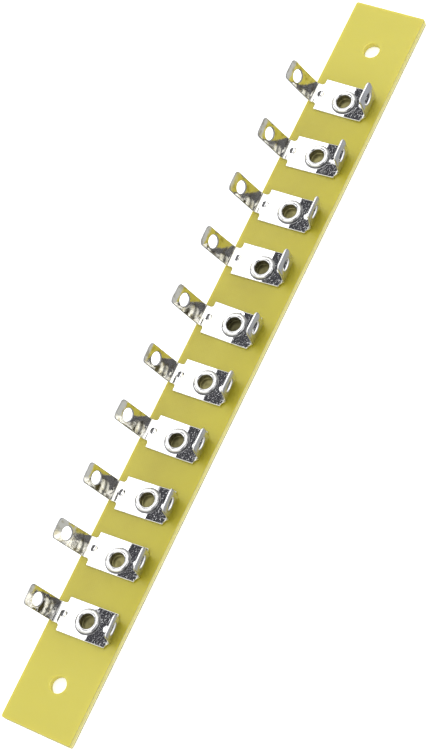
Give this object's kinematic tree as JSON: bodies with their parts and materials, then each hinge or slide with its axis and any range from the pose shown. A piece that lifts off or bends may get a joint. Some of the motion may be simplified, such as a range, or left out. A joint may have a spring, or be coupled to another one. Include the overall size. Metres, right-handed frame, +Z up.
{
  "type": "solder terminal strip",
  "caption": "Long flat laminate strip with a row of riveted solder lugs, each folded up at its ends into leaning tabs with wire eyes, and a plain screw hole near each end.",
  "frame": {"origin": "midway between the two mounting holes, on the board's underside", "axes": "+X along the row, +Y across the board towards the lugs' longer necks, +Z up out of the board on the lugs' side"},
  "size_m": [0.15, 0.0182, 0.0102],
  "materials": {
    "board_laminate": "satin pale yellow glass and epoxy laminate",
    "lug_tin": "bright tin plate on stamped sheet",
    "rivet_tin": "tin plate, slightly duller than the lugs"
  },
  "bodies": {
    "root": {"board": "board_laminate", "terminal_01": "lug_tin", "terminal_02": "lug_tin", "terminal_03": "lug_tin", "terminal_04": "lug_tin", "terminal_05": "lug_tin", "terminal_06": "lug_tin", "terminal_07": "lug_tin", "terminal_08": "lug_tin", "terminal_09": "lug_tin", "terminal_10": "lug_tin", "rivet_01": "rivet_tin", "rivet_02": "rivet_tin", "rivet_03": "rivet_tin", "rivet_04": "rivet_tin", "rivet_05": "rivet_tin", "rivet_06": "rivet_tin", "rivet_07": "rivet_tin", "rivet_08": "rivet_tin", "rivet_09": "rivet_tin", "rivet_10": "rivet_tin"}
  },
  "joints": []
}
